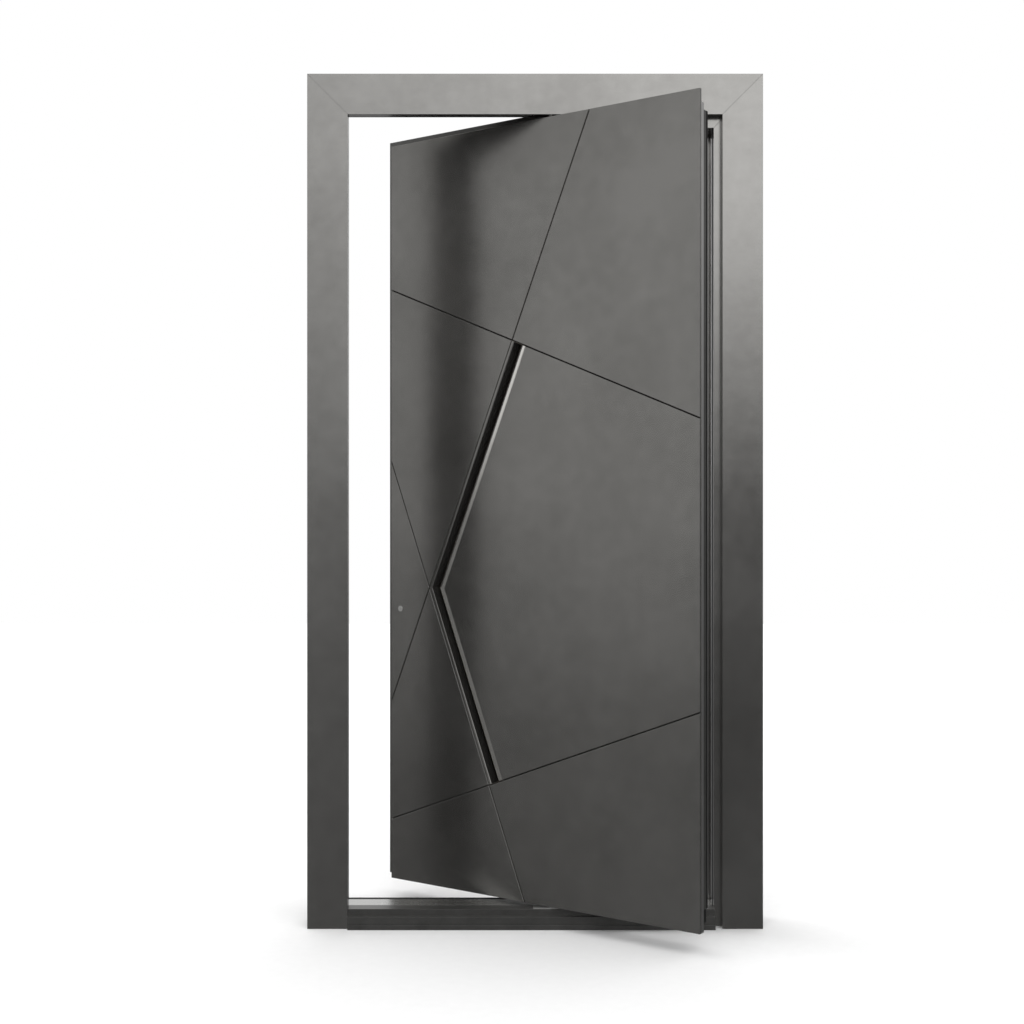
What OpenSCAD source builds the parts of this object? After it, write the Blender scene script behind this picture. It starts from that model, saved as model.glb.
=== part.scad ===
// Aluminium pivot door: a flush leaf with crossing grooves and a recessed chevron grip,
// turning on an offset floor and head pivot in a wide cased frame.
// Millimetres. X runs along the frame, Y goes inwards from the outside casing face, Z is up.
// The origin is on the floor, mid-width, under the plane of the outside casing face.

/* [Frame] */
// Overall width of the casing
outer_w = 1550; // [1290:10:1700]
// Overall height of the casing
outer_h = 2908; // [2420:10:3200]
// Face width of the outside casing
casing_w = 138; // [100:1:160]
// Depth of the outside casing
casing_t = 32; // [26:1:34]
// Depth of the frame behind the front plane
frame_depth = 150; // [145:1:180]
// Face width of the inside casing
inner_casing_w = 85; // [60:1:92]
// Depth of the inside casing
inner_casing_t = 12; // [8:1:20]
// How far the frame profiles stop short of the casing's outer edge
wall_cover = 35; // [20:1:45]
// Clear recess behind the casing for the sash flange, on the lock side and the head
flange_recess = 9; // [6:1:15]

/* [Pivot side stop] */
// Depth of the stop's face behind the front plane
stop_y = 34; // [33:1:36]
// Part of the stop's face that shows beside the casing
stop_show = 25; // [22:1:32]
// Part of the stop's face that shows under the head casing
stop_head_show = 37; // [30:1:40]
// How far the inner lip of the stop stands further in
lip_step = 6; // [4:1:7]
// Depth at which the inner lip starts
lip_y = 130; // [128:1:140]
// Gap between the turning hub of the leaf and the end of the head stop
hub_gap = 7; // [5:1:15]

/* [Seals] */
// Thickness of the seals behind the casing
seal_t = 5; // [3:1:5]
// Width of the seals behind the casing
seal_w = 13; // [8:1:20]
// Width of the black strip let into the stop
stop_seal_w = 40; // [20:1:60]
// Depth of the black strip let into the stop
stop_seal_t = 6; // [3:1:10]

/* [Threshold] */
// Height of the threshold
sill_h = 67; // [60:1:68]
// Height of the front nosing
nosing_h = 45; // [30:1:50]
// How far the nosing stands in front of the casing
nosing_out = 14; // [5:1:25]
// Depth of the nosing's top ledge
nosing_ledge = 17; // [10:1:25]
// Depth of the front strip of the threshold's top
sill_front_d = 50; // [30:1:60]
// Depth of the black rear seal on the threshold
sill_seal_d = 22; // [12:1:30]
// Thickness of the walking plate let into the threshold
plate_t = 4; // [2:0.5:6]
// Height of the drip groove above the floor
drip_z = 16; // [10:1:20]
// Size of the drip groove
drip_s = 3; // [2:0.5:5]

/* [Leaf] */
// Gap between the outside panel and the casing on the lock side
gap_lock = 9; // [7:0.5:12]
// Gap between the outside panel and the casing on the pivot side
gap_pivot = 7; // [7:0.5:12]
// Gap between the outside panel and the head casing
gap_head = 8; // [7:0.5:12]
// Gap between the outside panel and the threshold
gap_sill = 9; // [8:0.5:14]
// Thickness of the outside cassettes
outer_t = 28; // [26:1:28]
// Overall thickness of the leaf
leaf_t = 126; // [120:1:126]
// Thickness of the inside cassettes
inner_t = 16; // [12:1:20]
// How far the flange stands out past the outside panel on the lock side
flange_w = 41; // [30:1:45]
// How far the flange stands up past the outside panel
flange_h = 29; // [20:1:32]
// How far the pivot side of the sash steps back from the panel edge
sash_back = 33; // [33:1:40]
// How far the pivot side of the sash stops short of the panel top
sash_drop = 41; // [41:1:60]
// How far the pivot side of the sash stops short of the panel bottom
sash_lift = 51; // [40:1:60]
// Width of the lock stile and the height of the bottom lock rail
stile_w = 109; // [95:1:130]
// Width of the pivot stile and of the pivot side rails
stile_pivot_w = 60; // [50:1:90]
// Angle at which the leaf stands open
open_angle = 34.3; // [0:0.1:90]

/* [Grooves] */
// Height of the upper long groove at the lock edge
upper_lock_z = 2235; // [2150:5:2300]
// Height of the upper long groove at the pivot edge
upper_pivot_z = 1714; // [1600:5:1800]
// Height of the lower long groove at the lock edge
lower_lock_z = 293; // [250:5:350]
// Height of the lower long groove at the pivot edge
lower_pivot_z = 779; // [700:5:850]
// Height of the rising groove at the lock edge
rising_lock_z = 725; // [650:5:800]
// Distance of the rising groove from the lock edge at the panel top
rising_top_s = 849; // [800:5:900]
// Height of the falling groove at the lock edge
falling_lock_z = 1605; // [1550:5:1650]
// Distance of the falling groove from the lock edge at the panel bottom
falling_bottom_s = 588; // [550:5:640]
// Width of a groove at the face
groove_w = 6; // [3:0.5:8]
// Depth of a groove
groove_d = 5; // [2:0.5:8]
// Open joint between two cassettes at the foot of a groove
joint_gap = 0.4; // [0.2:0.1:0.8]

/* [Grip] */
// Width of the chevron grip recess
grip_w = 62; // [50:1:75]
// Depth of the grip recess and its lining
grip_d = 50; // [35:1:52]
// Wall of the grip lining
grip_wall = 2.5; // [1.5:0.5:4]

/* [Lock] */
// Height of the lock cylinder
lock_z = 1067; // [1000:1:1100]
// Distance of the lock cylinder from the panel's lock edge
lock_s = 44; // [35:1:55]
// Diameter of the lock cylinder
cylinder_dia = 17; // [14:0.5:20]
// Diameter of the cylinder rose
rose_dia = 21; // [20:0.5:30]
// Thickness of the cylinder rose
rose_t = 2; // [1:0.5:4]
// Length of the lock's edge plate and of the strike plate
faceplate_l = 280; // [200:5:400]
// Width of the lock's edge plate and of the strike plate
faceplate_w = 24; // [18:1:30]
// Thickness of the lock's edge plate and of the strike plate
faceplate_t = 3; // [2:0.5:4]

/* [Pivots] */
// Distance of the pivot axis from the middle of the frame
pivot_x = 54; // [0:1:120]
// Depth of the pivot axis behind the front plane
pivot_y = 22; // [20:0.5:23]
// Diameter of the pivot pins
pin_dia = 14; // [12:0.5:14]
// Radial running clearance of a pivot pin
pin_clear = 0.05; // [0.02:0.01:0.1]
// Length of the pivot plates and shoes
pivot_plate_l = 120; // [80:5:160]
// Width of the pivot plates and shoes
pivot_plate_w = 24; // [20:1:24]
// Thickness of the floor pivot plate above the threshold
floor_plate_t = 3; // [2:0.5:4]
// Height of a pivot shoe inside the leaf
shoe_h = 60; // [40:1:90]

/* [Hidden] */
$fn = 64;
eps = 0.5;
// Bright edge strip: its thickness, and its depths behind the leaf's face.
trim_t = 2;
trim_y0 = 11;
trim_y1 = 27;
// Steel plate over the head pivot, and the free height above its pin.
head_plate_t = 10;
pin_over = 8;
pin_rise = 5;
pin_hole_clear = 1;
// The floor pin starts at this height inside the threshold and ends this far below its shoe's top.
floor_pin_z = 30;
pin_end_gap = 10;
shoe_bore_gap = 8;
// The inside cassettes stand back from the sash's edges by this much.
inner_inset = 38;
inner_back = 10;
// The sash flange stands behind the casing's seal with this gap.
flange_gap = 5;
flange_lift = 6;
head_extra = 4;
// The sash changes section this far before the pivot, and the head seal stops before that.
step_back = 24;
seal_stop = 60;
// The stop's seal begins this deep behind its face.
stop_seal_in = 8;
// The bottom seal stands back behind the outside panel and up from its foot.
foot_seal_in = 16;
foot_seal_up = 8;
lip_free = 4;
grip_sunk = 1;
lining_joint = 0.3;
// Openings of the strike plate for the latch and the bolt.
strike_low = -60;
strike_high = 40;
strike_half_w = 7;
strike_half_h = 18;
half_w = outer_w / 2;
opening_x = half_w - casing_w;
opening_z = outer_h - casing_w;
frame_x = half_w - wall_cover;
frame_z = outer_h - wall_cover;

// Leaf, closed: s runs from the panel's lock edge, y inwards from its face.
leaf_x0 = -opening_x + gap_lock;
leaf_x1 = opening_x - gap_pivot;
leaf_w = leaf_x1 - leaf_x0;
leaf_z0 = sill_h + gap_sill;
leaf_z1 = opening_z - gap_head;
flange_y = casing_t + seal_t + flange_gap;
flange_x = leaf_x0 - flange_w;
flange_z = leaf_z1 + flange_h;
sash_x1 = leaf_x1 - sash_back;
sash_z1 = leaf_z1 - sash_drop;
sash_z0 = leaf_z0 + sash_lift;
inner_y = leaf_t - inner_t;
step_x = pivot_x - step_back;
hub_r = norm([pivot_x - step_x, leaf_t - pivot_y]);
flange_z0 = leaf_z0 + flange_lift;
stile_x1 = leaf_x0 + stile_w - flange_w;
latch_y = (flange_y + leaf_t) / 2;
lip_x0 = pivot_x + hub_r + hub_gap;

// Frame faces that the leaf closes into.
lock_reveal_x = flange_x - flange_recess;
head_reveal_z = flange_z + flange_recess + head_extra;
stop_x = opening_x - stop_show;
stop_z = opening_z - stop_head_show;
stop_root_x = -lock_reveal_x;
lip_x = stop_x - lip_step;
lip_z = stop_z - lip_step;
inner_casing_x = half_w - inner_casing_w;
inner_casing_z = outer_h - inner_casing_w;
sill_y0 = -nosing_out;
riser_y = sill_y0 + nosing_ledge;
plate_y0 = riser_y + sill_front_d;
seal_y0 = frame_depth - sill_seal_d;

// Line helpers in the plane of the leaf: points are [s, z].
function cross2(a, b) = a[0] * b[1] - a[1] * b[0];
function meet(p, q, u, v) = p + (q - p) * (cross2(u - p, v - u) / cross2(q - p, v - u));
function side(p, q) = [q[1] - p[1], p[0] - q[0]] / norm(q - p);
function shifted(line, d) = [line[0] + side(line[0], line[1]) * d, line[1] + side(line[0], line[1]) * d];
function corner(m, n) = meet(m[0], m[1], n[0], n[1]);

// The four grooves, each from its first edge of the panel to its last.
upper = [[0, upper_lock_z], [leaf_w, upper_pivot_z]];
lower = [[0, lower_lock_z], [leaf_w, lower_pivot_z]];
rising = [[0, rising_lock_z], [rising_top_s, leaf_z1]];
falling = [[0, falling_lock_z], [falling_bottom_s, leaf_z0]];

// The grip recess lies on the pivot side of the rising and the falling groove.
rising_far = shifted(rising, grip_w);
falling_far = shifted(falling, -grip_w);
grip_top = corner(upper, rising);
grip_mid = corner(rising, falling);
grip_low = corner(lower, falling);
grip_top_far = corner(upper, rising_far);
grip_mid_far = corner(rising_far, falling_far);
grip_low_far = corner(lower, falling_far);
grip_outline = [grip_top, grip_mid, grip_low, grip_low_far, grip_mid_far, grip_top_far];
// The same outline drawn in by d on every side.
function grip_inset(d) = [
    corner(shifted(upper, d), shifted(rising, d)),
    corner(shifted(rising, d), shifted(falling, -d)),
    corner(shifted(lower, -d), shifted(falling, -d)),
    corner(shifted(lower, -d), shifted(falling_far, d)),
    corner(shifted(rising_far, -d), shifted(falling_far, d)),
    corner(shifted(upper, d), shifted(rising_far, -d))
];

// The fields between the grooves, all convex.
field_top_lock = [[0, upper_lock_z], grip_top, [rising_top_s, leaf_z1], [0, leaf_z1]];
field_top_pivot = [grip_top, [leaf_w, upper_pivot_z], [leaf_w, leaf_z1], [rising_top_s, leaf_z1]];
field_upper_lock = [[0, falling_lock_z], grip_mid, grip_top, [0, upper_lock_z]];
field_wedge = [[0, rising_lock_z], grip_mid, [0, falling_lock_z]];
field_lower_lock = [[0, lower_lock_z], grip_low, grip_mid, [0, rising_lock_z]];
field_bottom_lock = [[0, leaf_z0], [falling_bottom_s, leaf_z0], grip_low, [0, lower_lock_z]];
field_bottom_pivot = [[falling_bottom_s, leaf_z0], [leaf_w, leaf_z0], [leaf_w, lower_pivot_z], grip_low];
field_main = [grip_low_far, [leaf_w, lower_pivot_z], [leaf_w, upper_pivot_z], grip_top_far, grip_mid_far];
fields = [
    field_top_lock, field_top_pivot, field_upper_lock, field_wedge,
    field_lower_lock, field_bottom_lock, field_bottom_pivot, field_main
];

frame_colour = [0.42, 0.42, 0.41];
leaf_colour = [0.30, 0.30, 0.29];
sash_colour = [0.24, 0.24, 0.24];
rubber_colour = [0.04, 0.04, 0.04];
steel_colour = [0.66, 0.66, 0.66];

// A box given by its two corners.
module block(low, high) {
    translate(low) cube(high - low);
}

// A prism over an X-Z outline, from one depth to another.
module face_prism(points, y0, y1) {
    translate([0, y1, 0]) rotate([90, 0, 0]) linear_extrude(y1 - y0) polygon(points);
}

// A prism along X over a Y-Z section.
module rail(section, x0, x1) {
    translate([x0, 0, 0]) rotate([90, 0, 90]) linear_extrude(x1 - x0) polygon(section);
}

// A prism along Z over an X-Y section.
module post(section, z0, z1) {
    translate([0, 0, z0]) linear_extrude(z1 - z0) polygon(section);
}

// An upright leg of a mitred frame: dir is -1 for the lock side and 1 for the pivot side.
module mitred_leg(dir, x_in, x_out, z_in, z_out, y0, y1) {
    face_prism([[dir * x_in, 0], [dir * x_out, 0], [dir * x_out, z_out], [dir * x_in, z_in]], y0, y1);
}

// The head of a mitred frame.
module mitred_head(x_in, x_out, z_in, z_out, y0, y1) {
    face_prism([[-x_in, z_in], [x_in, z_in], [x_out, z_out], [-x_out, z_out]], y0, y1);
}

// The leaf's parts are drawn closed and turned open about the pivot.
module opened() {
    translate([pivot_x, pivot_y, 0]) rotate([0, 0, -open_angle]) translate([-pivot_x, -pivot_y, 0])
        children();
}

// A prism over an outline in the leaf's plane, from one depth to another.
module leaf_prism(points, y0, y1) {
    translate([leaf_x0, 0, 0]) face_prism(points, y0, y1);
}

// The V-shaped cut of one groove with the open joint at its foot, through the given thickness.
module groove_cut(line, t) {
    run = line[1] - line[0];
    reach = 60;
    translate([leaf_x0 + line[0][0], 0, line[0][1]]) rotate([0, -atan2(run[1], run[0]), 0])
        translate([-reach, 0, 0]) rotate([90, 0, 90]) linear_extrude(norm(run) + 2 * reach)
            polygon([
                [-eps, -groove_w / 2], [groove_d, -joint_gap / 2], [t + eps, -joint_gap / 2],
                [t + eps, joint_gap / 2], [groove_d, joint_gap / 2], [-eps, groove_w / 2]
            ]);
}

// One outside cassette over a field, with its share of the grooves.
module cassette(field) {
    color(leaf_colour) opened() difference() {
        leaf_prism(field, 0, outer_t);
        for (line = [upper, lower, rising, falling]) groove_cut(line, outer_t);
        // Rebate of the bright edge strip, and the thin lip above the sash on the pivot side.
        block([leaf_x1 - trim_t, trim_y0, 0], [leaf_x1 + eps, trim_y1, outer_h]);
        block([lip_x0, trim_y0, sash_z1], [leaf_x1 + eps, outer_t + eps, outer_h]);
        cylinder_hole(-eps, outer_t + eps);
        shoe_space();
    }
}

// The hole for the lock cylinder, square to the leaf.
module cylinder_hole(y0, y1) {
    translate([leaf_x0 + lock_s, y0, lock_z]) rotate([-90, 0, 0])
        cylinder(h = y1 - y0, d = cylinder_dia + 2 * pin_clear);
}

// ---- Frame ----

module casing_lock() {
    color(frame_colour) mitred_leg(-1, opening_x, half_w, opening_z, outer_h, 0, casing_t);
}

module casing_pivot() {
    color(frame_colour) mitred_leg(1, opening_x, half_w, opening_z, outer_h, 0, casing_t);
}

module casing_head() {
    color(frame_colour) difference() {
        mitred_head(opening_x, half_w, opening_z, outer_h, 0, casing_t);
        // Pocket of the head pivot plate and of the pin above it.
        block([pivot_x - pivot_plate_l / 2, pivot_y - pivot_plate_w / 2, opening_z - eps],
            [pivot_x + pivot_plate_l / 2, casing_t + eps, opening_z + head_plate_t]);
        translate([pivot_x, pivot_y, opening_z])
            cylinder(h = head_plate_t + pin_over, d = pin_dia + 2 * pin_hole_clear);
    }
}

module jamb_lock() {
    color(frame_colour) difference() {
        mitred_leg(-1, stop_root_x, frame_x, head_reveal_z, frame_z, casing_t, frame_depth);
        strike_pocket(eps);
    }
}

module jamb_pivot() {
    color(frame_colour) mitred_leg(1, stop_root_x, frame_x, head_reveal_z, frame_z, casing_t, frame_depth);
}

module head_rail() {
    color(frame_colour) mitred_head(stop_root_x, frame_x, head_reveal_z, frame_z, casing_t, frame_depth);
}

// The pivot side's stop is an angle with a lip at its inner edge.
module stop_jamb_pivot() {
    color(frame_colour) difference() {
        post([[stop_x, stop_y], [stop_root_x, stop_y], [stop_root_x, frame_depth],
            [lip_x, frame_depth], [lip_x, lip_y], [stop_x, lip_y]], 0, head_reveal_z);
        stop_mitre(1);
        stop_seal_shape(eps);
    }
}

module stop_head_pivot() {
    color(frame_colour) difference() {
        rail([[stop_y, stop_z], [lip_y, stop_z], [lip_y, lip_z], [frame_depth, lip_z],
            [frame_depth, head_reveal_z], [stop_y, head_reveal_z]], lip_x0, stop_root_x);
        stop_mitre(-1);
    }
}

// Half space beyond the mitre of the stop: 1 is above it, -1 below it.
module stop_mitre(dir) {
    run = [stop_root_x - stop_x, head_reveal_z - stop_z];
    low = [stop_x, stop_z] - 2 * run;
    high = [stop_x, stop_z] + 2 * run;
    far = dir > 0 ? [low[0], high[1]] : [high[0], low[1]];
    face_prism([low, high, far], 0, frame_depth + eps);
}

module stop_seal_shape(open) {
    block([stop_x - open, stop_y + stop_seal_in, -open],
        [stop_x + stop_seal_t, stop_y + stop_seal_in + stop_seal_w, stop_z]);
}

module stop_seal() {
    color(rubber_colour) stop_seal_shape(0);
}

module seal_jamb_lock() {
    color(rubber_colour) block([-opening_x - seal_w, casing_t, sill_h], [-opening_x, casing_t + seal_t, opening_z]);
}

module seal_head_lock() {
    color(rubber_colour) block([-opening_x - seal_w, casing_t, opening_z],
        [step_x - seal_stop, casing_t + seal_t, opening_z + seal_w]);
}

module inner_casing_lock() {
    color(frame_colour) mitred_leg(-1, inner_casing_x, half_w, inner_casing_z, outer_h,
        frame_depth, frame_depth + inner_casing_t);
}

module inner_casing_pivot() {
    color(frame_colour) mitred_leg(1, inner_casing_x, half_w, inner_casing_z, outer_h,
        frame_depth, frame_depth + inner_casing_t);
}

module inner_casing_head() {
    color(frame_colour) mitred_head(inner_casing_x, half_w, inner_casing_z, outer_h,
        frame_depth, frame_depth + inner_casing_t);
}

// Plan outline of the threshold between two depths, notched round the jambs and the stop.
module sill_plan(y0, y1, z0, z1) {
    intersection() {
        union() {
            block([-opening_x, sill_y0, 0], [stop_x, casing_t, outer_h]);
            block([-stop_root_x, casing_t, 0], [stop_x, lip_y, outer_h]);
            block([-stop_root_x, lip_y, 0], [lip_x, frame_depth, outer_h]);
        }
        block([-half_w, y0, z0], [half_w, y1, z1]);
    }
}

module threshold_base() {
    color(sash_colour) difference() {
        union() {
            sill_plan(riser_y, plate_y0, 0, sill_h);
            sill_plan(plate_y0 - eps, frame_depth, 0, sill_h - plate_t);
        }
        translate([pivot_x, pivot_y, floor_pin_z]) cylinder(h = sill_h, d = pin_dia);
    }
}

module threshold_nosing() {
    color(sash_colour) difference() {
        block([-opening_x, sill_y0, 0], [stop_x, riser_y, nosing_h]);
        block([-half_w, sill_y0 - eps, drip_z], [half_w, sill_y0 + drip_s, drip_z + drip_s]);
    }
}

module threshold_plate() {
    color(steel_colour) sill_plan(plate_y0, seal_y0, sill_h - plate_t, sill_h);
}

module threshold_rear_seal() {
    color(rubber_colour) sill_plan(seal_y0, frame_depth, sill_h - plate_t, sill_h);
}

// Pocket and plate of the strike, flush in the lock jamb's reveal.
module strike_pocket(open) {
    block([-stop_root_x - faceplate_t, latch_y - faceplate_w / 2, lock_z - faceplate_l / 2],
        [-stop_root_x + open, latch_y + faceplate_w / 2, lock_z + faceplate_l / 2]);
}

module strike_plate() {
    color(steel_colour) difference() {
        strike_pocket(0);
        // Openings for the latch and the bolt.
        for (z = [lock_z + strike_low, lock_z + strike_high])
            block([-stop_root_x - faceplate_t - eps, latch_y - strike_half_w, z - strike_half_h],
                [-stop_root_x + eps, latch_y + strike_half_w, z + strike_half_h]);
    }
}

module head_pivot_plate() {
    color(steel_colour) difference() {
        block([pivot_x - pivot_plate_l / 2, pivot_y - pivot_plate_w / 2, opening_z],
            [pivot_x + pivot_plate_l / 2, casing_t, opening_z + head_plate_t]);
        translate([pivot_x, pivot_y, opening_z - eps])
            cylinder(h = head_plate_t + 2 * eps, d = pin_dia + 2 * pin_clear);
    }
}

// The floor pivot is a plate on the threshold with its pin standing up into the leaf.
module floor_pivot() {
    color(steel_colour) union() {
        block([pivot_x - pivot_plate_l / 2, pivot_y - pivot_plate_w / 2, sill_h],
            [pivot_x + pivot_plate_l / 2, pivot_y + pivot_plate_w / 2, sill_h + floor_plate_t]);
        translate([pivot_x, pivot_y, floor_pin_z])
            cylinder(h = leaf_z0 + shoe_h - pin_end_gap - floor_pin_z, d = pin_dia);
    }
}

// ---- Leaf ----

module plate_top_lock() { cassette(field_top_lock); }
module plate_top_pivot() { cassette(field_top_pivot); }
module plate_upper_lock() { cassette(field_upper_lock); }
module plate_wedge() { cassette(field_wedge); }
module plate_lower_lock() { cassette(field_lower_lock); }
module plate_bottom_lock() { cassette(field_bottom_lock); }
module plate_bottom_pivot() { cassette(field_bottom_pivot); }
module plate_main() { cassette(field_main); }

// Room for the pivot shoes at the top and the bottom of the leaf.
module shoe_space() {
    for (z = [leaf_z1 - shoe_h, leaf_z0])
        block([pivot_x - pivot_plate_l / 2, pivot_y - pivot_plate_w / 2, z - eps],
            [pivot_x + pivot_plate_l / 2, pivot_y + pivot_plate_w / 2, z + shoe_h + eps]);
}

// A narrow slit through the lining from one point of the leaf's plane to another.
module slit(p, q, y0, y1) {
    over = (q - p) / norm(q - p) * grip_wall;
    leaf_prism(concat(
        [for (v = shifted([p - over, q + over], lining_joint / 2)) v],
        [for (v = shifted([q + over, p - over], lining_joint / 2)) v]
    ), y0, y1);
}

// Lining of the grip recess: strips along its walls and two floor plates, with fine joints.
module grip_lining() {
    inner = grip_inset(grip_wall);
    floor_y = grip_d - grip_wall;
    difference() {
        leaf_prism(grip_outline, grip_sunk, grip_d);
        leaf_prism(inner, 0, grip_d + eps);
        for (i = [0:5]) slit(grip_outline[i], inner[i], 0, grip_d + eps);
    }
    difference() {
        leaf_prism(grip_inset(grip_wall + lining_joint), floor_y, grip_d);
        slit(grip_mid, grip_mid_far, floor_y - eps, grip_d + eps);
    }
}

module grip_outside() {
    color(rubber_colour) opened() grip_lining();
}

// The inside mirrors the outside through the middle of the leaf.
module mirrored_in() {
    translate([0, leaf_t, 0]) mirror([0, 1, 0]) children();
}

module grip_inside() {
    color(rubber_colour) opened() mirrored_in() grip_lining();
}

module edge_trim() {
    color(steel_colour) opened() block([leaf_x1 - trim_t, trim_y0, leaf_z0], [leaf_x1, trim_y1, sash_z1]);
}

module sash_stile_lock() {
    color(sash_colour) opened() difference() {
        post([[leaf_x0, outer_t], [stile_x1, outer_t], [stile_x1, inner_y], [leaf_x0 + inner_inset, inner_y],
            [leaf_x0 + inner_inset, leaf_t], [flange_x, leaf_t], [flange_x, flange_y], [leaf_x0, flange_y]],
            flange_z0, flange_z);
        block([flange_x - eps, 0, leaf_z1], [stile_x1 + eps, flange_y, outer_h]);
        block([leaf_x0 + inner_inset - eps, inner_y, 0], [stile_x1 + eps, leaf_t + eps, outer_h]);
        cylinder_hole(outer_t - eps, leaf_t + eps);
        faceplate_pocket(eps);
    }
}

module sash_stile_pivot() {
    color(sash_colour) opened()
        block([sash_x1 - stile_pivot_w, outer_t, sash_z0], [sash_x1, inner_y, sash_z1]);
}

// The top rail ends in a rounded hub beside the pivot, which turns clear of the head stop.
module sash_rail_top_lock() {
    color(sash_colour) opened() union() {
        rail([
            [outer_t, sash_z1 - stile_pivot_w], [inner_y, sash_z1 - stile_pivot_w], [inner_y, sash_z1],
            [leaf_t, sash_z1], [leaf_t, flange_z], [flange_y, flange_z], [flange_y, leaf_z1], [outer_t, leaf_z1]
        ], stile_x1, step_x);
        intersection() {
            block([step_x - 1, outer_t, sash_z1], [pivot_x + hub_r, leaf_t, leaf_z1]);
            translate([pivot_x, pivot_y, 0]) cylinder(h = outer_h, r = hub_r, $fn = 128);
        }
    }
}

module sash_rail_top_pivot() {
    color(sash_colour) opened() difference() {
        block([step_x, outer_t, sash_z1 - stile_pivot_w], [sash_x1 - stile_pivot_w, inner_y, sash_z1]);
        shoe_space();
    }
}

module sash_rail_bottom_lock() {
    color(sash_colour) opened() rail([
        [outer_t, flange_z0], [leaf_t, flange_z0], [leaf_t, sash_z0], [inner_y, sash_z0],
        [inner_y, sash_z0 + stile_pivot_w], [outer_t, sash_z0 + stile_pivot_w]
    ], stile_x1, step_x);
}

module sash_rail_bottom_pivot() {
    color(sash_colour) opened() difference() {
        block([step_x, outer_t, sash_z0], [sash_x1 - stile_pivot_w, inner_y, sash_z0 + stile_pivot_w]);
        shoe_space();
    }
}

// Insulating board between the sash profiles, cut out for both grips.
module leaf_core() {
    color([0.85, 0.8, 0.6]) opened() difference() {
        block([stile_x1, outer_t, sash_z0 + stile_pivot_w],
            [sash_x1 - stile_pivot_w, inner_y, sash_z1 - stile_pivot_w]);
        leaf_prism(grip_outline, 0, grip_d);
        mirrored_in() leaf_prism(grip_outline, 0, grip_d);
    }
}

module leaf_seal_pivot() {
    color(rubber_colour) opened()
        block([sash_x1 - inner_back, inner_y, sash_z0], [sash_x1, leaf_t - lip_free, sash_z1]);
}

module bottom_seal() {
    color(rubber_colour) opened()
        block([step_x, outer_t + foot_seal_in, leaf_z0 + foot_seal_up], [sash_x1, inner_y, sash_z0]);
}

// The inside cassettes repeat the outside fields, cut to the inside outline.
module inner_plates() {
    color(leaf_colour) opened() for (field = fields) intersection() {
        difference() {
            mirrored_in() difference() {
                leaf_prism(field, 0, inner_t);
                for (line = [upper, lower, rising, falling]) groove_cut(line, inner_t);
            }
            cylinder_hole(0, leaf_t + eps);
        }
        block([leaf_x0 + inner_inset, inner_y, sash_z0], [sash_x1 - inner_back, leaf_t, sash_z1]);
    }
}

module faceplate_pocket(proud) {
    block([flange_x - proud, latch_y - faceplate_w / 2, lock_z - faceplate_l / 2],
        [flange_x + faceplate_t, latch_y + faceplate_w / 2, lock_z + faceplate_l / 2]);
}

module lock_faceplate() {
    color(steel_colour) opened() faceplate_pocket(0);
}

module lock_cylinder() {
    color(steel_colour) opened() translate([leaf_x0 + lock_s, -rose_t, lock_z]) rotate([-90, 0, 0])
        cylinder(h = leaf_t + 2 * rose_t, d = cylinder_dia);
}

module cylinder_roses() {
    color(steel_colour) opened() for (y = [-rose_t, leaf_t])
        translate([leaf_x0 + lock_s, y, lock_z]) rotate([-90, 0, 0]) difference() {
            cylinder(h = rose_t, d = rose_dia);
            translate([0, 0, -eps]) cylinder(h = rose_t + 2 * eps, d = cylinder_dia + 2 * pin_clear);
        }
}

// The top pivot is a shoe in the leaf with its pin standing up into the head plate.
module top_pivot() {
    color(steel_colour) opened() union() {
        block([pivot_x - pivot_plate_l / 2, pivot_y - pivot_plate_w / 2, leaf_z1 - shoe_h],
            [pivot_x + pivot_plate_l / 2, outer_t, leaf_z1]);
        translate([pivot_x, pivot_y, leaf_z1])
            cylinder(h = gap_head + head_plate_t + pin_rise, d = pin_dia);
    }
}

module bottom_pivot_shoe() {
    color(steel_colour) opened() difference() {
        block([pivot_x - pivot_plate_l / 2, pivot_y - pivot_plate_w / 2, leaf_z0],
            [pivot_x + pivot_plate_l / 2, outer_t, leaf_z0 + shoe_h]);
        translate([pivot_x, pivot_y, leaf_z0 - eps])
            cylinder(h = shoe_h - shoe_bore_gap, d = pin_dia + 2 * pin_clear);
    }
}

casing_lock();
casing_pivot();
casing_head();
jamb_lock();
jamb_pivot();
head_rail();
stop_jamb_pivot();
stop_head_pivot();
stop_seal();
seal_jamb_lock();
seal_head_lock();
inner_casing_lock();
inner_casing_pivot();
inner_casing_head();
threshold_base();
threshold_nosing();
threshold_plate();
threshold_rear_seal();
strike_plate();
head_pivot_plate();
floor_pivot();
plate_top_lock();
plate_top_pivot();
plate_upper_lock();
plate_wedge();
plate_lower_lock();
plate_bottom_lock();
plate_bottom_pivot();
plate_main();
grip_outside();
grip_inside();
edge_trim();
sash_stile_lock();
sash_stile_pivot();
sash_rail_top_lock();
sash_rail_top_pivot();
sash_rail_bottom_lock();
sash_rail_bottom_pivot();
leaf_core();
leaf_seal_pivot();
bottom_seal();
inner_plates();
lock_faceplate();
lock_cylinder();
cylinder_roses();
top_pivot();
bottom_pivot_shoe();
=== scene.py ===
import math

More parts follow.
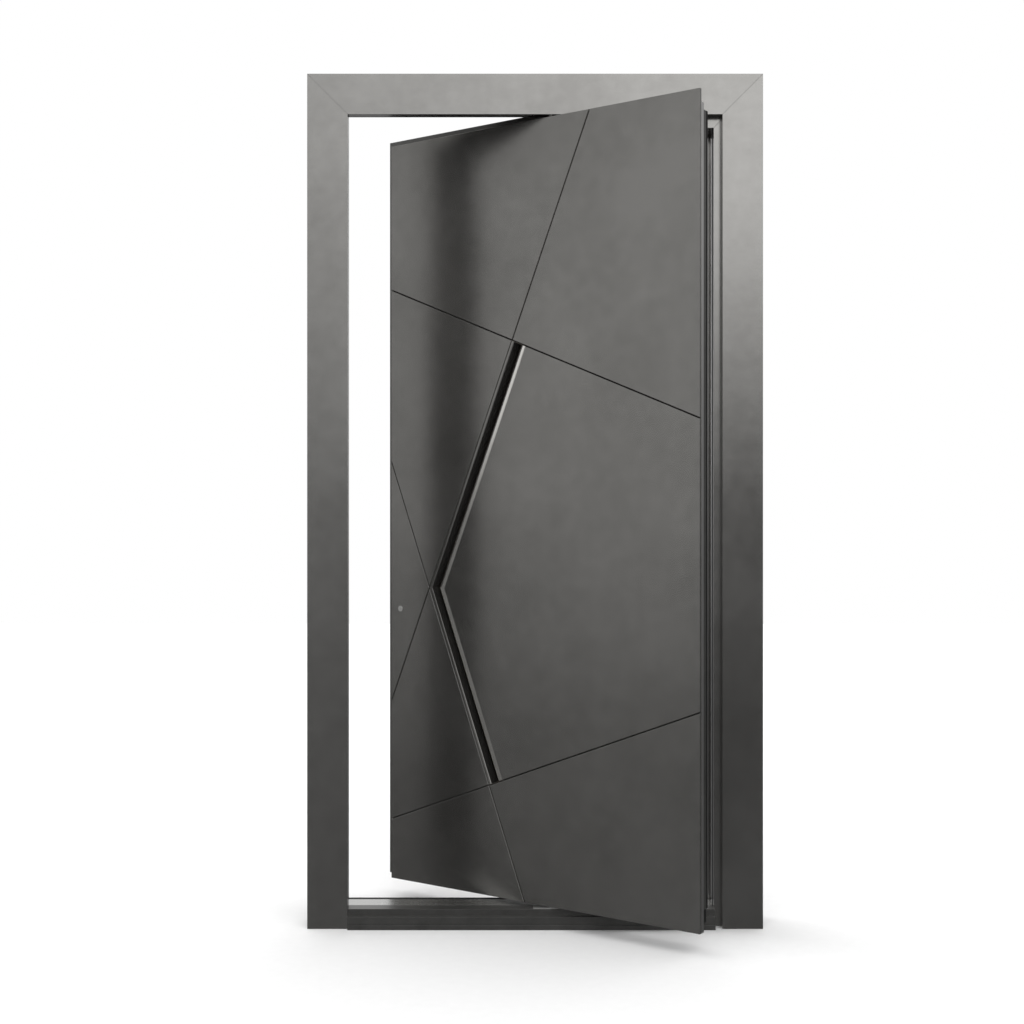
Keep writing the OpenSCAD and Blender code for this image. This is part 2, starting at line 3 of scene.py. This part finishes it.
import bmesh
import bpy
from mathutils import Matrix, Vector


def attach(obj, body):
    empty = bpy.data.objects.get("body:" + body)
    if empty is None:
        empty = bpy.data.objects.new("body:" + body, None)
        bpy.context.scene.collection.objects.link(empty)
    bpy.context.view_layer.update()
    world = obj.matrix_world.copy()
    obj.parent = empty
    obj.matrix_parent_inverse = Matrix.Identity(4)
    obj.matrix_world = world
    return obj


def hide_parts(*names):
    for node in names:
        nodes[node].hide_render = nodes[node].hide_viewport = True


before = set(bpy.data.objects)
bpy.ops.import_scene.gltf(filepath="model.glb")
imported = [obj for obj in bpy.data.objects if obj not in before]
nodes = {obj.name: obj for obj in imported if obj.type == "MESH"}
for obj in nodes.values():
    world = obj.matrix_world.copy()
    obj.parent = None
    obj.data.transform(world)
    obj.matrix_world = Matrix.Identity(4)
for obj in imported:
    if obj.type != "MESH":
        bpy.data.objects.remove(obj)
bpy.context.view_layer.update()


# ---- Outside casing ----
# Three wide flat boards of folded aluminium, mitred at the top corners and set in front of the
# frame. They are powder coated in a satin anthracite that shows a faint cloudy bloom.

class Wire:
    """A number or colour that varies over a surface; arithmetic on it adds Math nodes."""

    def __init__(self, tree, socket):
        self.tree, self.socket = tree, socket

    def math(self, operation, *terms):
        inputs = {i: term for i, term in enumerate(terms)}
        return add(self.tree, "ShaderNodeMath", {"operation": operation}, inputs)

    def __add__(self, other):
        return self.math("ADD", self, other)

    def __radd__(self, other):
        return self.math("ADD", other, self)

    def __sub__(self, other):
        return self.math("SUBTRACT", self, other)

    def __rsub__(self, other):
        return self.math("SUBTRACT", other, self)

    def __mul__(self, other):
        return self.math("MULTIPLY", self, other)

    def __rmul__(self, other):
        return self.math("MULTIPLY", other, self)


def add(tree, kind, settings, inputs, output=0):
    """Adds one node: its settings first, then a value or a wire for each named socket."""
    node = tree.nodes.new(kind)
    for name, value in settings.items():
        setattr(node, name, value)
    for name, value in inputs.items():
        if isinstance(value, Wire):
            tree.links.new(value.socket, node.inputs[name])
        else:
            node.inputs[name].default_value = value
    return Wire(tree, node.outputs[output])


def finish_material(name, fixed, build):
    """A material whose shader has these fixed values and the varying ones that build gives."""
    material = bpy.data.materials.new(name)
    material.use_nodes = True
    tree = material.node_tree
    shader = tree.nodes["Principled BSDF"]
    for socket, value in fixed.items():
        shader.inputs[socket].default_value = value
    place = add(tree, "ShaderNodeTexCoord", {}, {}, "Object")
    for socket, wire in build(tree, place).items():
        tree.links.new(wire.socket, shader.inputs[socket])
    return material


def noise(tree, place, scale, detail=3, rough=0.5, stretch=(1, 1, 1)):
    at = add(tree, "ShaderNodeMapping", {}, {"Vector": place, "Scale": stretch})
    return add(tree, "ShaderNodeTexNoise", {},
               {"Vector": at, "Scale": scale, "Detail": detail, "Roughness": rough})


def blend_colours(tree, factor, low, high):
    return add(tree, "ShaderNodeMix", {"data_type": "RGBA"},
               {0: factor, 6: (*low, 1), 7: (*high, 1)}, 2)


def coated(name, low, high, rough, metallic, grain=0.06, cloud=0.07):
    """Powder coat on metal: a cloudy bloom, finer mottling, and a fine orange-peel grain."""
    def build(tree, place):
        bloom = noise(tree, place, 2.3, 4, 0.55)
        mottle = noise(tree, place, 21, 5, 0.6)
        peel = noise(tree, place, 260, 2)
        mix = add(tree, "ShaderNodeMapRange", {},
                  {"Value": bloom * 0.65 + mottle * 0.35, "From Min": 0.38, "From Max": 0.62})
        shine = rough + (bloom - 0.5) * cloud + (mottle - 0.5) * 0.05
        bump = add(tree, "ShaderNodeBump", {},
                   {"Strength": grain, "Distance": 0.0002, "Height": peel})
        return {"Base Color": blend_colours(tree, mix, low, high), "Roughness": shine, "Normal": bump}
    return finish_material(name, {"Metallic": metallic}, build)


def dress(material, *names):
    for name in names:
        for slot in nodes[name].material_slots:
            slot.material = material


def made(name, mesh, materials, body, node):
    """The finished mesh as a piece on its body, in place of the node."""
    data = bpy.data.meshes.new(name)
    mesh.to_mesh(data)
    mesh.free()
    for material in materials:
        data.materials.append(material)
    piece = bpy.data.objects.new(name, data)
    bpy.context.scene.collection.objects.link(piece)
    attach(piece, body)
    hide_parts(node)
    return piece


MERGE, FLAT_ANGLE, SHARP_ANGLE = 2e-5, math.radians(0.6), math.radians(25)


def softened(name, node, width, material, body):
    """The node's shape with its sharp edges rounded by width, as folded or extruded metal has them."""
    mesh = bmesh.new()
    mesh.from_mesh(nodes[node].data)
    bmesh.ops.remove_doubles(mesh, verts=mesh.verts, dist=MERGE)
    bmesh.ops.dissolve_limit(mesh, angle_limit=FLAT_ANGLE, verts=mesh.verts, edges=mesh.edges)
    sharp = [e for e in mesh.edges if len(e.link_faces) == 2 and e.calc_face_angle(0) > SHARP_ANGLE]
    bmesh.ops.bevel(mesh, geom=sharp, offset=width, offset_type="OFFSET", segments=2,
                    profile=0.5, affect="EDGES", clamp_overlap=True)
    for face in mesh.faces:
        face.smooth = True
    piece = made(name, mesh, [material], body, node)
    normals = piece.modifiers.new("even shading", "WEIGHTED_NORMAL")
    normals.keep_sharp = True


FRAME_LOW, FRAME_HIGH = (0.215, 0.211, 0.203), (0.265, 0.261, 0.252)
frame_coat = coated("frame_coat", FRAME_LOW, FRAME_HIGH, 0.22, 0.97)
CASING_EDGE = 0.0008
for part in ("casing_lock", "casing_pivot", "casing_head"):
    softened(part + "_board", part, CASING_EDGE, frame_coat, "frame")

# ---- Frame profiles ----
# Extruded aluminium jambs and head behind the casing, with the stop on the pivot side that the
# leaf closes against, and a slim casing on the inside. All have the same coat as the casing.

PROFILE_EDGE = 0.0006
for part in ("jamb_lock", "jamb_pivot", "head_rail", "stop_jamb_pivot", "stop_head_pivot",
             "inner_casing_lock", "inner_casing_pivot", "inner_casing_head"):
    softened(part + "_profile", part, PROFILE_EDGE, frame_coat, "frame")

# ---- Frame seals ----
# Black rubber strips behind the casing, in the stop's face and at the back of the threshold.
# Extruded, dull, with fine lengthwise lines from the die and a little dust.


def rubber(name):
    def build(tree, place):
        lines = noise(tree, place, 9, 3, 0.5, (60, 60, 1))
        dust = noise(tree, place, 45, 4, 0.6)
        bump = add(tree, "ShaderNodeBump", {}, {"Strength": 0.25, "Distance": 0.0006, "Height": lines})
        return {"Base Color": blend_colours(tree, dust, (0.004, 0.004, 0.004), (0.010, 0.010, 0.009)),
                "Roughness": 0.55 + dust * 0.2, "Normal": bump}
    return finish_material(name, {"Specular IOR Level": 0.25}, build)


seal_rubber_and_painted_shade = rubber("seal_rubber_and_painted_shade")
dress(seal_rubber_and_painted_shade, "stop_seal", "seal_jamb_lock", "seal_head_lock", "threshold_rear_seal")

# ---- Threshold ----
# A low sill between the jambs: a dark coated profile with a front nosing that has a drip groove,
# and a brushed steel walking plate let into its top.

DARK_LOW, DARK_HIGH = (0.085, 0.084, 0.081), (0.12, 0.119, 0.115)
dark_coat = coated("dark_profile_coat", DARK_LOW, DARK_HIGH, 0.34, 0.8)
softened("threshold_profile", "threshold_base", PROFILE_EDGE, dark_coat, "frame")
softened("threshold_nosing_profile", "threshold_nosing", PROFILE_EDGE, dark_coat, "frame")


def brushed(name, low, high, rough, stretch):
    """Brushed metal: fine scratches drawn out along one direction."""
    def build(tree, place):
        strokes = noise(tree, place, 6, 6, 0.65, stretch)
        haze = noise(tree, place, 14, 3)
        bump = add(tree, "ShaderNodeBump", {}, {"Strength": 0.12, "Distance": 0.0003, "Height": strokes})
        mix = strokes * 0.7 + haze * 0.3
        return {"Base Color": blend_colours(tree, mix, low, high),
                "Roughness": rough + (haze - 0.5) * 0.1 + (strokes - 0.5) * 0.08, "Normal": bump}
    return finish_material(name, {"Metallic": 1.0}, build)


STEEL_LOW, STEEL_HIGH = (0.42, 0.42, 0.41), (0.58, 0.58, 0.57)
walk_steel = brushed("walking_plate_steel", STEEL_LOW, STEEL_HIGH, 0.26, (1, 130, 130))
softened("walking_plate", "threshold_plate", 0.0004, walk_steel, "frame")

# ---- Pivot fittings and strike ----
# Ground steel: the floor plate with its pin, the plate in the head, the strike in the lock jamb,
# and the shoes and pins in the leaf. Small parts, cut from bar and brushed.

fitting_steel = brushed("fitting_steel", STEEL_LOW, STEEL_HIGH, 0.3, (40, 40, 4))
dress(fitting_steel, "floor_pivot", "head_pivot_plate", "strike_plate", "top_pivot",
      "bottom_pivot_shoe", "lock_faceplate")

# ---- Leaf: sash profiles ----
# Dark coated aluminium profiles round an insulating board, which no side of the door shows.
# The pivot side steps back so that the leaf closes into the stop.

SASH = ("sash_stile_lock", "sash_stile_pivot", "sash_rail_top_lock", "sash_rail_top_pivot",
        "sash_rail_bottom_lock", "sash_rail_bottom_pivot")
for part in SASH:
    softened(part + "_profile", part, 0.0005, dark_coat, "leaf")
# The seal on the pivot edge is black rubber made deep enough to fill the gap behind the leaf's edge, so its
# black also paints the shade in that gap.
dress(seal_rubber_and_painted_shade, "leaf_seal_pivot", "bottom_seal")


def board(tree, place):
    cells = add(tree, "ShaderNodeTexVoronoi", {}, {"Vector": place, "Scale": 160.0}, "Distance")
    tint = noise(tree, place, 12)
    bump = add(tree, "ShaderNodeBump", {}, {"Strength": 0.3, "Distance": 0.001, "Height": cells})
    return {"Base Color": blend_colours(tree, tint, (0.62, 0.56, 0.38), (0.72, 0.67, 0.5)), "Normal": bump}


dress(finish_material("core_board", {"Roughness": 0.8}, board), "leaf_core")

# ---- Leaf: outside and inside cassettes ----
# Flush aluminium cassettes that meet at four V-shaped grooves. Coated in a metallic anthracite,
# a little glossier than the frame, with the same faint clouds.

LEAF_LOW, LEAF_HIGH = (0.178, 0.175, 0.167), (0.222, 0.218, 0.209)
leaf_coat = coated("leaf_coat", LEAF_LOW, LEAF_HIGH, 0.24, 0.9, 0.05, 0.05)
CASSETTE_EDGE = 0.0006
for part in ("plate_top_lock", "plate_top_pivot", "plate_upper_lock", "plate_wedge",
             "plate_lower_lock", "plate_bottom_lock", "plate_bottom_pivot", "plate_main"):
    softened(part + "_cassette", part, CASSETTE_EDGE, leaf_coat, "leaf")
softened("inside_cassettes", "inner_plates", CASSETTE_EDGE, leaf_coat, "leaf")

# ---- Leaf: edge strip ----
# A thin strip of bare brushed aluminium let into the pivot edge of the outside cassettes.

bare_aluminium = brushed("bare_edge_aluminium", (0.5, 0.5, 0.49), (0.62, 0.62, 0.61), 0.32, (90, 90, 1))
softened("edge_strip", "edge_trim", 0.0003, bare_aluminium, "leaf")

# ---- Leaf: grip lining ----
# The chevron recess is lined with a dark bronze coated channel. On the lock side a narrow lip
# lies flush with the face; on the pivot side a broad satin shoulder rolls down for the fingers.

bronze = coated("grip_bronze", (0.050, 0.044, 0.037), (0.075, 0.067, 0.058), 0.32, 0.8)
satin = coated("grip_satin", (0.46, 0.45, 0.43), (0.54, 0.53, 0.505), 0.2, 0.95)

# The leaf's plane, closed: s runs from the lock edge of the panel, z up, t inwards from its face.
PIVOT_X, PIVOT_Y, OPEN = 0.054, 0.022, math.radians(34.3)
PANEL_EDGE_X, LEAF_DEPTH = -0.628, 0.126
UPPER = (Vector((0, 2.235)), Vector((1.258, 1.714)))
LOWER = (Vector((0, 0.293)), Vector((1.258, 0.779)))
RISING = (Vector((0, 0.725)), Vector((0.849, 2.762)))
FALLING = (Vector((0, 1.605)), Vector((0.588, 0.076)))
GRIP_WIDTH, GRIP_DEPTH, GRIP_WALL = 0.062, 0.050, 0.0025
RIM, LIP_WIDTH, LIP_ROUND = 0.0008, 0.0105, 0.003
ROLL_RADIUS, ROLL_NOSE, FLOOR_FILLET = 0.090, 0.005, 0.006
ROLL_SLOPE_AT_FACE, ROLL_SLOPE_AT_NOSE = math.radians(14), math.radians(30)


def on_leaf(s, z, t):
    along, inwards = PANEL_EDGE_X + s - PIVOT_X, t - PIVOT_Y
    return (PIVOT_X + along * math.cos(OPEN) + inwards * math.sin(OPEN),
            PIVOT_Y - along * math.sin(OPEN) + inwards * math.cos(OPEN), z)


def shifted(line, distance):
    run = (line[1] - line[0]).normalized()
    side = Vector((run.y, -run.x)) * distance
    return line[0] + side, line[1] + side


def corner(one, other):
    p, r, q, w = one[0], one[1] - one[0], other[0], other[1] - other[0]
    share = ((q - p).x * w.y - (q - p).y * w.x) / (r.x * w.y - r.y * w.x)
    return p + r * share


def stations(u):
    """Where a lengthwise line of the lining, u from the lock-side wall, ends and turns."""
    top, bottom = shifted(UPPER, GRIP_WALL), shifted(LOWER, -GRIP_WALL)
    rising, falling = shifted(RISING, u), shifted(FALLING, -u)
    return corner(top, rising), corner(rising, falling), corner(bottom, falling)


def arc(centre, width, height, start, end, count):
    angles = [math.radians(start + (end - start) * i / count) for i in range(count + 1)]
    return [(centre[0] + width * math.cos(a), centre[1] + height * math.sin(a)) for a in angles]


def creased(mesh, angle):
    """Shades the mesh smoothly, but not across edges sharper than the angle in degrees."""
    bmesh.ops.recalc_face_normals(mesh, faces=mesh.faces)
    for edge in mesh.edges:
        edge.smooth = len(edge.link_faces) == 2 and edge.calc_face_angle(0) < math.radians(angle)
    for face in mesh.faces:
        face.smooth = True


# The section across the channel, from the lock side: u across, t inwards from the face.
lip = [(0.0, RIM)] + arc((LIP_WIDTH - LIP_ROUND, RIM + LIP_ROUND), LIP_ROUND, -LIP_ROUND, 90, 0, 4)
roll_centre = (GRIP_WIDTH + ROLL_RADIUS * math.sin(ROLL_SLOPE_AT_FACE),
               RIM / 2 + ROLL_RADIUS * math.cos(ROLL_SLOPE_AT_FACE))
roll = arc(roll_centre, ROLL_RADIUS, -ROLL_RADIUS,
           90 + math.degrees(ROLL_SLOPE_AT_NOSE), 90 + math.degrees(ROLL_SLOPE_AT_FACE), 12)
nose_centre = (roll[0][0] + ROLL_NOSE * math.sin(ROLL_SLOPE_AT_NOSE),
               roll[0][1] + ROLL_NOSE * math.cos(ROLL_SLOPE_AT_NOSE))
nose = arc(nose_centre, ROLL_NOSE, -ROLL_NOSE, 180, 128, 4)
fillet_t = GRIP_DEPTH - GRIP_WALL - FLOOR_FILLET
floor_in_lip = arc((LIP_WIDTH + FLOOR_FILLET, fillet_t), -FLOOR_FILLET, FLOOR_FILLET, 0, 90, 5)
floor_in_roll = arc((nose[0][0] - FLOOR_FILLET, fillet_t), FLOOR_FILLET, FLOOR_FILLET, 90, 0, 5)
LINED, PAINTED, SATIN = 0, 1, 2
section = ([((0.0, GRIP_DEPTH), LINED)] + [(point, PAINTED) for point in lip]
           + [(point, LINED) for point in floor_in_lip + floor_in_roll]
           + [(point, SATIN) for point in nose + roll] + [((GRIP_WIDTH, GRIP_DEPTH), LINED)])


def grip_channel(name, node, inside):
    """The chevron channel, swept in two arms that mitre at the elbow, with a plate at either end."""
    mesh = bmesh.new()

    def place(point, t):
        return mesh.verts.new(on_leaf(point.x, point.y, LEAF_DEPTH - t if inside else t))

    rows = [[place(point, t) for point in stations(u)] for (u, t), _ in section]
    for row, following, (_, finish) in zip(rows, rows[1:] + rows[:1], section):
        for k in range(2):
            face = mesh.faces.new((row[k], following[k], following[k + 1], row[k + 1]))
            face.material_index = finish
    mesh.faces.new([row[0] for row in rows])
    mesh.faces.new([row[2] for row in reversed(rows)])
    for line, wall in ((UPPER, GRIP_WALL), (LOWER, -GRIP_WALL)):
        arm, sign = (RISING, 1) if line is UPPER else (FALLING, -1)
        outline = [corner(shifted(line, d), shifted(arm, sign * u))
                   for d, u in ((0, 0), (0, GRIP_WIDTH), (wall, GRIP_WIDTH), (wall, 0))]
        front, back = ([place(point, t) for point in outline] for t in (RIM, GRIP_DEPTH))
        mesh.faces.new(front)
        mesh.faces.new(back[::-1])
        for k in range(4):
            mesh.faces.new((front[k], back[k], back[k - 3], front[k - 3]))
    creased(mesh, 35)
    made(name, mesh, [bronze, leaf_coat, satin], "leaf", node)


grip_channel("grip_channel_outside", "grip_outside", False)
grip_channel("grip_channel_inside", "grip_inside", True)

# ---- Lock cylinder ----
# A plain steel profile of round section through the leaf, its plug ringed by a fine groove and
# cut with a keyway at either end, with a turned rose on either face.

turned = brushed("turned_steel", (0.5, 0.5, 0.49), (0.66, 0.66, 0.64), 0.25, (30, 30, 30))
dress(turned, "cylinder_roses")

LOCK_S, LOCK_Z, PROUD = 0.044, 1.067, 0.002
SIDES, KEYWAY_DEPTH = 40, 0.003
end_profile = [(0.0060, -PROUD), (0.0062, -0.0016), (0.0066, -0.0016), (0.0068, -PROUD),
               (0.0079, -PROUD), (0.0085, -0.0014)]
keyway = [(-0.0008, -0.0035), (0.0008, -0.0035), (0.0008, 0.0015),
          (0.0013, 0.0032), (-0.0013, 0.0032), (-0.0008, 0.0015)]
mesh = bmesh.new()
rings = []
for radius, t in end_profile + [(r, LEAF_DEPTH - d) for r, d in reversed(end_profile)]:
    turn = [2 * math.pi * i / SIDES for i in range(SIDES)]
    rings.append([mesh.verts.new(on_leaf(LOCK_S + radius * math.cos(a), LOCK_Z + radius * math.sin(a), t))
                  for a in turn])
for near, far in zip(rings, rings[1:]):
    for i in range(SIDES):
        mesh.faces.new((near[i], near[i - 1], far[i - 1], far[i]))
for rim, t, inwards in ((rings[0], -PROUD, 1), (rings[-1], LEAF_DEPTH + PROUD, -1)):
    mouth, foot = ([mesh.verts.new(on_leaf(LOCK_S + s, LOCK_Z + z, t + depth)) for s, z in keyway]
                   for depth in (0, inwards * KEYWAY_DEPTH))
    for i in range(len(keyway)):
        mesh.faces.new((mouth[i], mouth[i - 1], foot[i - 1], foot[i]))
    mesh.faces.new(foot)
    loops = [mesh.edges.get((loop[i], loop[i - 1])) for loop in (rim, mouth) for i in range(len(loop))]
    bmesh.ops.triangle_fill(mesh, use_beauty=True, edges=loops)
creased(mesh, 35)
made("keyed_cylinder", mesh, [turned], "leaf", "lock_cylinder")

# ---- Floor, light and camera ----
# A plain white floor in a bright room: one large soft lamp overhead, screens of light behind the
# viewer that are brightest high up on the right, and walls that grow dull towards the floor.


def studio_floor(tree, place):
    speckle = noise(tree, place, 30)
    return {"Base Color": blend_colours(tree, speckle, (0.86, 0.86, 0.86), (0.9, 0.9, 0.9))}


half = 14.0
floor_mesh = bmesh.new()
bmesh.ops.create_grid(floor_mesh, x_segments=8, y_segments=8, size=half)
floor_data = bpy.data.meshes.new("floor")
floor_mesh.to_mesh(floor_data)
floor_mesh.free()
floor = bpy.data.objects.new("floor", floor_data)
bpy.context.scene.collection.objects.link(floor)
floor_data.materials.append(finish_material("studio_floor", {"Roughness": 0.9, "Specular IOR Level": 0.0},
                                            studio_floor))
floor.visible_glossy = False

world = bpy.data.worlds.new("studio")
bpy.context.scene.world = world
world.use_nodes = True
room = world.node_tree
room.nodes.clear()


def ramp(value, low, high, bottom=0.0, top=1.0):
    return add(room, "ShaderNodeMapRange", {"interpolation_type": "SMOOTHSTEP"},
               {"Value": value, "From Min": low, "From Max": high, "To Min": bottom, "To Max": top})


direction = add(room, "ShaderNodeTexCoord", {}, {}, "Generated")
x, y, z = (add(room, "ShaderNodeSeparateXYZ", {}, {"Vector": direction}, axis) for axis in "XYZ")
in_front = ramp(y, -0.55, -0.9)
to_right = ramp(x, -0.25, 0.22)
left_rear = ramp(y, -0.22, 0.02) * ramp(y, 0.6, 0.4)
behind = ramp(y, 0.4, 0.6)
to_far_right = ramp(x, 0.35, 0.8)
side_wall = ramp(z, -0.2, 0.1, 0.24, 1.06) * ramp(y, -0.3, -0.48, 0.84, 1.06) - ramp(z, 0.1, 0.3, 0.0, 0.12)
back_wall = ramp(z, -0.15, 0.15, 0.35, 1.1)
left_screen = ramp(z, -0.17, 0.5, 0.28, 1.7)
right_screen = ramp(z, 0.04, 0.21, 0.17, 2.7)
screens = left_screen * (1 - to_right) + right_screen * to_right
left_rear_wall = ramp(z, 0.06, 0.22, 0.25, 1.6)
around = side_wall * (1 - behind - left_rear) + left_rear_wall * left_rear + back_wall * behind
walls = around * (1 - in_front) * (1 - to_far_right * 0.6) + screens * in_front
ceiling = ramp(z, 0.35, 0.75, 0.0, 0.5)
glow = walls + ceiling
seen = add(room, "ShaderNodeLightPath", {}, {}, "Is Camera Ray")
background = add(room, "ShaderNodeBackground", {}, {"Strength": glow})
plain = add(room, "ShaderNodeBackground", {}, {"Strength": 1.0, "Color": (1, 1, 1, 1)})
both = add(room, "ShaderNodeMixShader", {}, {0: seen, 1: background, 2: plain})
out = room.nodes.new("ShaderNodeOutputWorld")
room.links.new(both.socket, out.inputs["Surface"])

lamp_data = bpy.data.lights.new("overhead", "SUN")
lamp_data.energy = 0.5
lamp_data.angle = math.radians(100)
lamp = bpy.data.objects.new("overhead", lamp_data)
lamp.rotation_euler = (math.radians(8), math.radians(10), 0)
lamp.visible_glossy = False
bpy.context.scene.collection.objects.link(lamp)

scene = bpy.context.scene
scene.view_settings.view_transform = "Standard"
camera_data = bpy.data.cameras.new("camera")
camera_data.sensor_width = 36.0
camera_data.lens = 49.4
camera_data.shift_y = 0.0078
camera = bpy.data.objects.new("camera", camera_data)
camera.location = (-0.0785, -4.777, 1.3906)
camera.rotation_euler = (math.radians(90), 0, 0)
scene.collection.objects.link(camera)
scene.camera = camera
